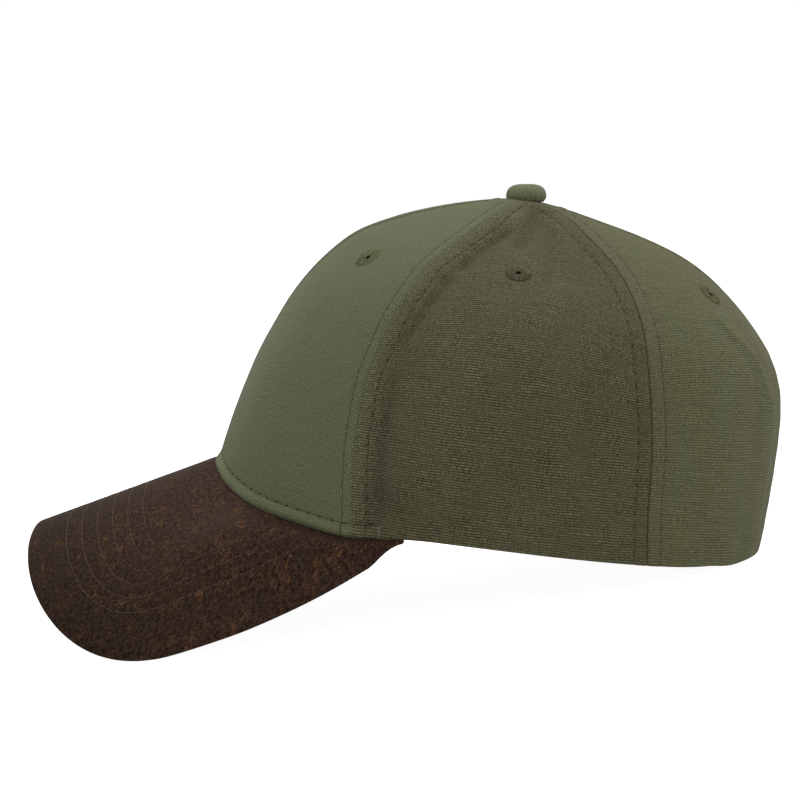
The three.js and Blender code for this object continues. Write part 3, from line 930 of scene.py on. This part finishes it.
class CAP_OT_eyelets(bpy.types.Operator):
    """Make the six eyelets sewn in satin stitch"""

    bl_idname = "cap.make_eyelets"
    bl_label = "Eyelets"

    def execute(self, context):
        for name, (across, up) in EYELETS.items():
            cut = CUTS[name]
            low = read_table(LEVELS, np.array(0.5))
            bottom = rim_place(lerp(cut.start(low), cut.end(low), np.array(across)))
            point = cut.base(np.array(across), bottom, np.array(up))[0]
            gaps = np.linalg.norm(cut.flat - point, axis=-1)
            i, j = np.unravel_index(np.argmin(gaps), gaps.shape)
            where, normal = cut.outer[i, j] + (point - cut.flat[i, j]), cut.normal[i, j]
            thread = MATERIALS[f"satin_{name}"]
            for side, spot, facing in both_sides(where, normal):
                piece = self.make_ring(f"satin_eyelet_{name}_{side}", spot, facing, thread)
                finish_piece(piece, "eyelet_thread", f"eyelet_{name}_{side}")
        return {"FINISHED"}

    def make_ring(self, name, spot, facing, material):
        """A ring of thread wound over the hole's edge, each turn a flute, round a dimple that stands for the
        hole, its middle painted dark as the shade inside
        """
        radius, hole = EYELET_RADIUS, EYELET_HOLE
        profile = [
            (0, 0.12), (0.6 * hole, 0.14), (hole, 0.26), (hole + 0.5, 0.42), (0.5 * radius, 0.46),
            (0.7 * radius, 0.4), (0.88 * radius, 0.24), (0.97 * radius, 0.05), (radius, -0.25),
            (0.6 * radius, -0.5), (0, -0.5),
        ]
        bm = spin_profile(profile, EYELET_FLUTES * 4)
        turned = Vector((0, 0, 1)).rotation_difference(Vector(facing))
        places = []
        for vert in bm.verts:
            reach = vert.co.xy.length
            turn = np.arctan2(vert.co.y, vert.co.x)
            hang = (turned @ Vector((vert.co.x, vert.co.y, 0))).z / radius
            places.append({"satin": (turn * EYELET_FLUTES / (2 * pi), reach / radius), "hang": (hang, 0)})
            flute = cos(turn * EYELET_FLUTES)
            wave = 0.16 * sin(3 * turn + spot[1]) + 0.12 * sin(7 * turn)
            on_top = float(smoothstep(vert.co.z, -0.3, 0.4))
            rise = on_top * (0.15 * flute + 0.1 * wave) * reach / radius
            spread = 1 + on_top * 0.7 * wave * float(smoothstep(reach, 0.6 * radius, radius)) / radius
            vert.co = (vert.co.x * spread, vert.co.y * spread, vert.co.z + rise)
        write_uvs(bm, places)
        place_turned(bm, spot, facing)
        return new_object(name, bm, material)


def spin_profile(profile, steps):
    """A closed solid from a profile of distances and heights that starts and ends on the axis"""
    bm = bmesh.new()
    verts = [bm.verts.new((r, 0, z)) for r, z in profile]
    edges = [bm.edges.new(pair) for pair in zip(verts, verts[1:])]
    bmesh.ops.spin(bm, geom=verts + edges, cent=(0, 0, 0), axis=(0, 0, 1), dvec=(0, 0, 0),
                   angle=2 * pi, steps=steps, use_merge=True)
    bmesh.ops.remove_doubles(bm, verts=bm.verts[:], dist=1e-4)
    bmesh.ops.recalc_face_normals(bm, faces=bm.faces[:])
    return bm


def place_turned(bm, spot, facing):
    """Turns a piece made round Z to face along a normal, moves it there and sets it at rest in metres"""
    turn = Vector((0, 0, 1)).rotation_difference(Vector(facing)).to_matrix().to_4x4()
    lean = Matrix.Rotation(REST_TILT, 4, "X")
    matrix = (Matrix.Scale(MM, 4) @ Matrix.Translation(REST_PLACE) @ lean
              @ Matrix.Translation(Vector(spot)) @ turn)
    bmesh.ops.transform(bm, matrix=matrix, verts=bm.verts[:])


class CAP_OT_button(bpy.types.Operator):
    """Make the button covered in canvas"""

    bl_idname = "cap.make_button"
    bl_label = "Button"

    def execute(self, context):
        radius, height = BUTTON_RADIUS, BUTTON_HEIGHT
        head = [(across * radius, up * height) for across, up in BUTTON_HEAD]
        bm = spin_profile(head + BUTTON_SHANK, BUTTON_STEPS)
        places = []
        for vert in bm.verts:
            reach = vert.co.xy.length
            turn = np.arctan2(vert.co.y, vert.co.x)
            drop = max(0, height - vert.co.z)
            stretch = (reach + 0.6 * drop) / max(reach, 0.01)
            cloth = (vert.co.x * stretch * MM, vert.co.y * stretch * MM)
            places.append({"cloth": cloth, "seam": (1, 0), "hem": (1, 0), "fold": (0, 0)})
            low = float(1 - smoothstep(vert.co.z, 0.1 * height, 0.55 * height)) * (reach > 0.8 * radius)
            gather = BUTTON_GATHER * cos(BUTTON_GATHERS * turn + 1.5 * sin(3 * turn)) * low
            vert.co.x *= 1 + gather / radius
            vert.co.y *= 1 + gather / radius
        write_uvs(bm, places)
        facing = (0, -sin(BUTTON_TILT), cos(BUTTON_TILT))
        place_turned(bm, (0, AXIS_Y, LEVELS[TOP][HEIGHT] - BUTTON_SINK), facing)
        piece = new_object("canvas_button", bm, MATERIALS["button"])
        finish_piece(piece, "button_canvas", "top_button")
        return {"FINISHED"}


def edge_points():
    """Half of the peak's edge in plan, from its front centre round to its rear end, evenly spaced"""
    turn = np.linspace(0, pi / 2, 13)
    power = 2 / PEAK_SQUARENESS
    round_x = PEAK_HALF_WIDTH * np.sin(turn) ** power
    round_y = PEAK_WIDEST_Y - PEAK_REACH * np.clip(np.cos(turn), 0, 1) ** power
    step = np.array([0.25, 0.5, 0.75, 1])
    tail_x = lerp(PEAK_HALF_WIDTH, PEAK_END_X, step ** 2)
    tail_y = lerp(PEAK_WIDEST_Y, PEAK_END_Y, step)
    rows = np.stack((np.concatenate((round_x, tail_x)), np.concatenate((round_y, tail_y))), axis=-1)
    dense = read_table(rows, np.linspace(0, len(rows) - 1, 3001))
    return dense, path_lengths(dense[None], 1)[0]


def edge_at(side):
    dense, lengths = edge_points()
    place = np.abs(side) * lengths[-1]
    return np.interp(place, lengths, dense[:, 0]), np.interp(place, lengths, dense[:, 1])


def peak_surface(x, y):
    crest = PEAK_CREST_Z + (y - PEAK_CREST_Y) * tan(PEAK_SLOPE)
    return crest - (PEAK_BEND - np.sqrt(PEAK_BEND ** 2 - x ** 2)) / cos(PEAK_SLOPE)


def peak_top(side, share_from_seat, share_in_seat):
    """Points of the peak's top, its length beyond its seat, and distances from inside the rim"""
    degrees = np.abs(side) * PEAK_END_DEGREES
    place = rim_place(degrees)
    wall = CROWN_WALL + HEM_EXTRA + PEAK_TUCK
    normal = crown_normal(degrees, place)
    rim = crown_point(degrees, place) + normal * flare_height(degrees, 0)[..., None]
    inner = rim - unit(normal * (1, 1, 0)) * wall
    edge_x, edge_y = edge_at(side)
    length = np.hypot(edge_x - inner[..., 0], edge_y - inner[..., 1])
    seat = np.minimum(wall + SEAT_MARGIN, 0.85 * length) / length
    share = seat * share_in_seat + (1 - seat) * share_from_seat
    x = lerp(inner[..., 0], edge_x, share)
    y = lerp(inner[..., 1], edge_y, share)
    sideways = smoothstep(degrees, *PEAK_SETTLE_DEGREES)
    settle = np.minimum(lerp(*PEAK_SETTLE, sideways), 0.8 * (1 - seat) * length)
    tail = 1 - np.clip((np.abs(side) - PEAK_TAIL_FLAT) / (1 - PEAK_TAIL_FLAT), 0, 1)
    settled = tail * smoothstep((share - seat) * length, 0, settle)
    level = rim[..., 2] - SEAT_DROP
    side_z = lerp(level, peak_surface(x, y), settled)
    seat_surface = peak_surface(lerp(inner[..., 0], edge_x, seat), lerp(inner[..., 1], edge_y, seat))
    front_z = peak_surface(x, y) - (seat_surface - level) * (1 - settled)
    at_front = (1 - smoothstep(degrees, *PEAK_FRONT_DEGREES)) * (share > seat)
    z = lerp(side_z, front_z, at_front)
    return np.stack((np.where(side < 0, -x, x), y, z), axis=-1), (1 - seat) * length, share * length


class CAP_OT_peak(bpy.types.Operator):
    """Make the leather peak with the grooves of its stitching"""

    bl_idname = "cap.make_peak"
    bl_label = "Peak"

    def execute(self, context):
        settings = context.scene.cap_peak
        sides = np.linspace(-1, 1, PEAK_COLUMNS + 1)[:, None]
        beyond = np.linspace(0, 1, PEAK_ROWS + 1)[None, :-1]
        close = 1 - np.array(PEAK_EDGE_ROWS) / PEAK_LENGTH
        beyond = np.concatenate((beyond[:, beyond[0] < close[0]], close[None]), axis=1)
        seat = np.linspace(0, 1, PEAK_SEAT_ROWS + 1)[None, :-1]
        from_seat = np.concatenate((0 * seat, beyond), axis=1)
        in_seat = np.concatenate((seat, 0 * beyond + 1), axis=1)
        top, length, seat_distance = peak_top(sides, from_seat, in_seat)
        along_x = np.gradient(top, axis=0)
        along_y = np.gradient(top, axis=1)
        normal = unit(np.cross(along_y, along_x))
        normal *= np.where(normal[..., 2:] < 0, -1, 1)
        thickness = lerp(PEAK_WALL, PEAK_TAIL_WALL, smoothstep(np.abs(sides), PEAK_TAIL_FROM, 1))
        edge = top[:, -1]
        gaps = np.array([np.linalg.norm(edge - point, axis=-1).min() for point in top.reshape(-1, 3)])
        gaps = gaps.reshape(top.shape[:2])
        beside = smoothstep(np.abs(sides), *ROW_SPREAD_FROM)
        gaps = gaps / (1 + ROW_SPREAD * beside) - ROW_SHIFT * beside
        at_front = 1 - smoothstep(np.abs(sides) * PEAK_END_DEGREES, *PEAK_CREST_DEGREES)
        drop = np.maximum(0, peak_surface(top[..., 0], top[..., 1]) - top[..., 2]) * normal[..., 2]
        lift = PEAK_LIFT * (1 - smoothstep(seat_distance, *PEAK_LIFT_END))
        height = np.maximum(lift, drop * at_front * smoothstep(seat_distance, *PEAK_CREST_FROM))
        shown = smoothstep(from_seat * length, 0, 3)
        insets = [(settings.row_inset + k * settings.row_gap) / MM for k in range(settings.rows)]
        for inset in insets:
            height -= shown * ROW_GROOVE * bump_at(gaps, inset, ROW_GROOVE_WIDTH)
        near = np.clip(1 - (1 - from_seat) * length / PEAK_ROUND, 0, 1)
        rounding = PEAK_SHARPEN * (1 - np.sqrt(1 - near ** 2)) * thickness
        nose = unit(top[:, -1:] - top[:, -2:-1]) * (PEAK_NOSE * near ** 2)[..., None]
        outer = top + nose + normal * (height - rounding)[..., None]
        inner = top + nose - normal * (thickness - rounding)[..., None]
        across = PEAK_BEND * np.arcsin(top[..., 0] / PEAK_BEND)
        hide = np.stack((across, top[..., 1] / cos(PEAK_SLOPE)), axis=-1) * MM
        piece = bend_slab("leather_peak", outer, inner, {"hide": hide}, MATERIALS["leather"])
        finish_piece(piece, "peak_leather", "peak")
        CUTS["peak"] = (outer, normal, gaps, insets, from_seat * length)
        return {"FINISHED"}


class CAP_OT_stitching(bpy.types.Operator):
    """Sew the seams, the hem over the peak, the rows on the peak and the two bartacks"""

    bl_idname = "cap.make_stitching"
    bl_label = "Stitching"

    def execute(self, context):
        settings = context.scene.cap_thread
        width = settings.diameter / MM
        pitch = settings.seam_pitch / MM
        template = stitch_template(pitch - STITCH_GAP, width)
        lines = [(name, end) for name in PANELS for end in (0, 1)]
        for side in ("left", "right"):
            bm = bmesh.new()
            for name, end in lines:
                points, normals = CUTS[name].seam_line(end)
                if side == "right":
                    points, normals = mirrored(points), mirrored(normals)
                keep = CUTS[name].width > STITCH_END_WIDTH
                stamp_stitches(bm, template, points[keep], normals[keep], pitch, STITCH_SINK * width)
            piece = new_object(f"seam_stitches_{side}", bm, MATERIALS["thread_olive"])
            finish_piece(piece, "eyelet_thread")
        self.sew_hem(template, pitch, width)
        self.sew_peak(settings.row_pitch / MM, width * 0.75)
        self.sew_bartacks(width)
        return {"FINISHED"}

    def sew_hem(self, template, pitch, width):
        """One row over the peak, from past its end on one side to past its end on the other"""
        points = np.concatenate([CUTS[name].outer[:, HEM_ROW] for name in ("front", "side")])
        normals = np.concatenate([CUTS[name].normal[:, HEM_ROW] for name in ("front", "side")])
        degrees = np.concatenate([CUTS[name].degrees[:, HEM_ROW] for name in ("front", "side")])
        keep = degrees < HEM_STITCH_END
        bm = bmesh.new()
        for _, line, facing in both_sides(points[keep], normals[keep]):
            stamp_stitches(bm, template, line, facing, pitch, STITCH_SINK * width)
        piece = new_object("hem_stitches", bm, MATERIALS["thread_olive"])
        finish_piece(piece, "eyelet_thread")

    def sew_peak(self, pitch, width):
        outer, normal, gaps, insets, beyond = CUTS["peak"]
        template = stitch_template(pitch - ROW_STITCH_GAP, width)
        order = slice(None, None, -1)
        bm = bmesh.new()
        for inset in insets:
            points, normals = [], []
            for column in range(outer.shape[0]):
                if gaps[column].max() < inset:
                    continue
                place = np.interp(inset, gaps[column][order], np.arange(outer.shape[1])[order])
                index = int(place)
                share = place - index
                if np.interp(place, np.arange(outer.shape[1]), beyond[column]) < 1.5:
                    continue
                points.append(lerp(outer[column, index], outer[column, index + 1], share))
                normals.append(normal[column, index])
            if len(points) > 4:
                stamp_stitches(bm, template, np.array(points), np.array(normals), pitch, 0.3 * width)
        piece = new_object("peak_row_stitches", bm, MATERIALS["thread_brown"])
        finish_piece(piece, "peak_leather")

    def sew_bartacks(self, width):
        """A short upright bar of close stitches where the peak ends"""
        template = stitch_template(BARTACK_WIDTH - 0.1, width * 0.85)
        half = BARTACK_WIDTH / 2
        cut = CUTS["side"]
        column = int(np.argmin(np.abs(cut.degrees[:, HEM_ROW] - HEM_STITCH_END)))
        bm = bmesh.new()
        for _, points, normals in both_sides(cut.outer, cut.normal):
            for k in range(BARTACK_TURNS):
                climb = 1 + BARTACK_STEP * k
                row = int(np.argmin(np.abs(cut.climb[column] - climb)))
                shift = climb - cut.climb[column, row]
                up = unit(points[column, row + 1] - points[column, row])
                sideways = unit(points[column + 1, row] - points[column - 1, row])
                where = points[column, row] + up * shift
                line = np.array([where - sideways * half, where, where + sideways * half])
                facing = np.repeat(normals[column, row][None], 3, axis=0)
                stamp_stitches(bm, template, line, facing, BARTACK_WIDTH, 0.4 * width)
        piece = new_object("bartacks", bm, MATERIALS["thread_pale"])
        finish_piece(piece, "eyelet_thread")


# The camera's lens and sensor in millimetres, then its place and directions, fitted to the photo's outline
CAMERA_LENS = 144
CAMERA_SENSOR = 36
CAMERA_DISTANCE = 1.2
CAMERA_AIM = (0, 0.0006, 0.0732)
CAMERA_BACK = (0.99756, 0.00935, 0.06913)
CAMERA_UP = (-0.0698, 0.1337, 0.9886)

# Softboxes: how wide each is and where it hangs, in metres. All face LIGHT_AIM.
SOFTBOXES = {
    "overhead": (1, (-0.15, 0.15, 1.2)), "rear": (0.8, (0.35, 1.1, 0.6)), "front": (0.8, (0.45, -1.1, 0.55)),
}
LIGHT_AIM = (0, 0, 0.08)
FLOOR_SIZE = 12
FLOOR_DROP = 0.0002


def add_softbox(name, power, size, place):
    light = bpy.data.lights.new(name, "AREA")
    light.energy = power
    light.shape = "SQUARE"
    light.size = size
    lamp = bpy.data.objects.new(name, light)
    lamp.location = place
    lamp.rotation_euler = (Vector(LIGHT_AIM) - Vector(place)).to_track_quat("-Z", "Y").to_euler()
    bpy.context.scene.collection.objects.link(lamp)


class CAP_OT_stage(bpy.types.Operator):
    """Set up the camera, the floor and the studio light"""

    bl_idname = "cap.make_stage"
    bl_label = "Stage"

    def execute(self, context):
        scene = context.scene
        settings = scene.cap_stage
        data = bpy.data.cameras.new("camera")
        data.lens = CAMERA_LENS
        data.sensor_width = CAMERA_SENSOR
        camera = bpy.data.objects.new("camera", data)
        back = Vector(CAMERA_BACK).normalized()
        up = Vector(CAMERA_UP)
        up = (up - back * up.dot(back)).normalized()
        turn = Matrix((up.cross(back), up, back)).transposed().to_4x4()
        camera.matrix_world = Matrix.Translation(Vector(CAMERA_AIM) + back * CAMERA_DISTANCE) @ turn
        scene.collection.objects.link(camera)
        scene.camera = camera

        add = NewMaterial("painted_board")
        # Matt white paint: the fine roller texture keeps it from shining
        place = add("TexCoord")
        roller = add.noise(place.outputs["Object"], 400)
        bump = add("Bump", {"Strength": 0.05, "Distance": 0.0005, "Height": roller})
        tone = settings.floor_tone
        material = add.surface({
            "Base Color": (tone, tone, tone, 1), "Roughness": 0.9, "Specular IOR Level": 0.1,
            "Emission Color": (1, 1, 1, 1), "Emission Strength": 0.95, "Normal": bump,
        })
        bm = bmesh.new()
        bmesh.ops.create_grid(bm, x_segments=4, y_segments=4, size=FLOOR_SIZE)
        bmesh.ops.translate(bm, vec=(0, 0, -FLOOR_DROP), verts=bm.verts[:])
        new_object("floor", bm, material)

        world = bpy.data.worlds.new("white_studio")
        world.use_nodes = True
        background = world.node_tree.nodes["Background"]
        background.inputs["Color"].default_value = (1, 1, 1, 1)
        background.inputs["Strength"].default_value = settings.ambient
        scene.world = world
        scene.view_settings.view_transform = "Standard"
        for name, (size, place) in SOFTBOXES.items():
            add_softbox(name, getattr(settings, name), size, place)
        return {"FINISHED"}


OPERATORS = (CAP_OT_materials, CAP_OT_crown, CAP_OT_eyelets, CAP_OT_button, CAP_OT_peak,
             CAP_OT_stitching, CAP_OT_stage)
GROUPS = {"cap_cloth": CapCloth, "cap_thread": CapThread, "cap_peak": CapPeak, "cap_stage": CapStage}


class CAP_PT_panel(bpy.types.Panel):
    """Lists the cap's sizes and colours and the steps that make it"""

    bl_idname = "CAP_PT_panel"
    bl_label = "Cap"
    bl_space_type = "VIEW_3D"
    bl_region_type = "UI"
    bl_category = "Cap"

    def draw(self, context):
        for key, group in GROUPS.items():
            box = self.layout.box()
            for name in group.__annotations__:
                box.prop(getattr(context.scene, key), name)
        for operator in OPERATORS:
            self.layout.operator(operator.bl_idname)


def register():
    for cls in (*GROUPS.values(), *OPERATORS, CAP_PT_panel):
        bpy.utils.register_class(cls)
    for key, group in GROUPS.items():
        setattr(bpy.types.Scene, key, PointerProperty(type=group))


def unregister():
    for key in GROUPS:
        delattr(bpy.types.Scene, key)
    for cls in reversed((*GROUPS.values(), *OPERATORS, CAP_PT_panel)):
        bpy.utils.unregister_class(cls)


def main():
    register()
    bpy.ops.cap.make_materials()
    bpy.ops.cap.make_crown()
    bpy.ops.cap.make_eyelets()
    bpy.ops.cap.make_button()
    bpy.ops.cap.make_peak()
    bpy.ops.cap.make_stitching()
    bpy.ops.cap.make_stage()
    bpy.context.view_layer.update()


if __name__ == "__main__":
    main()
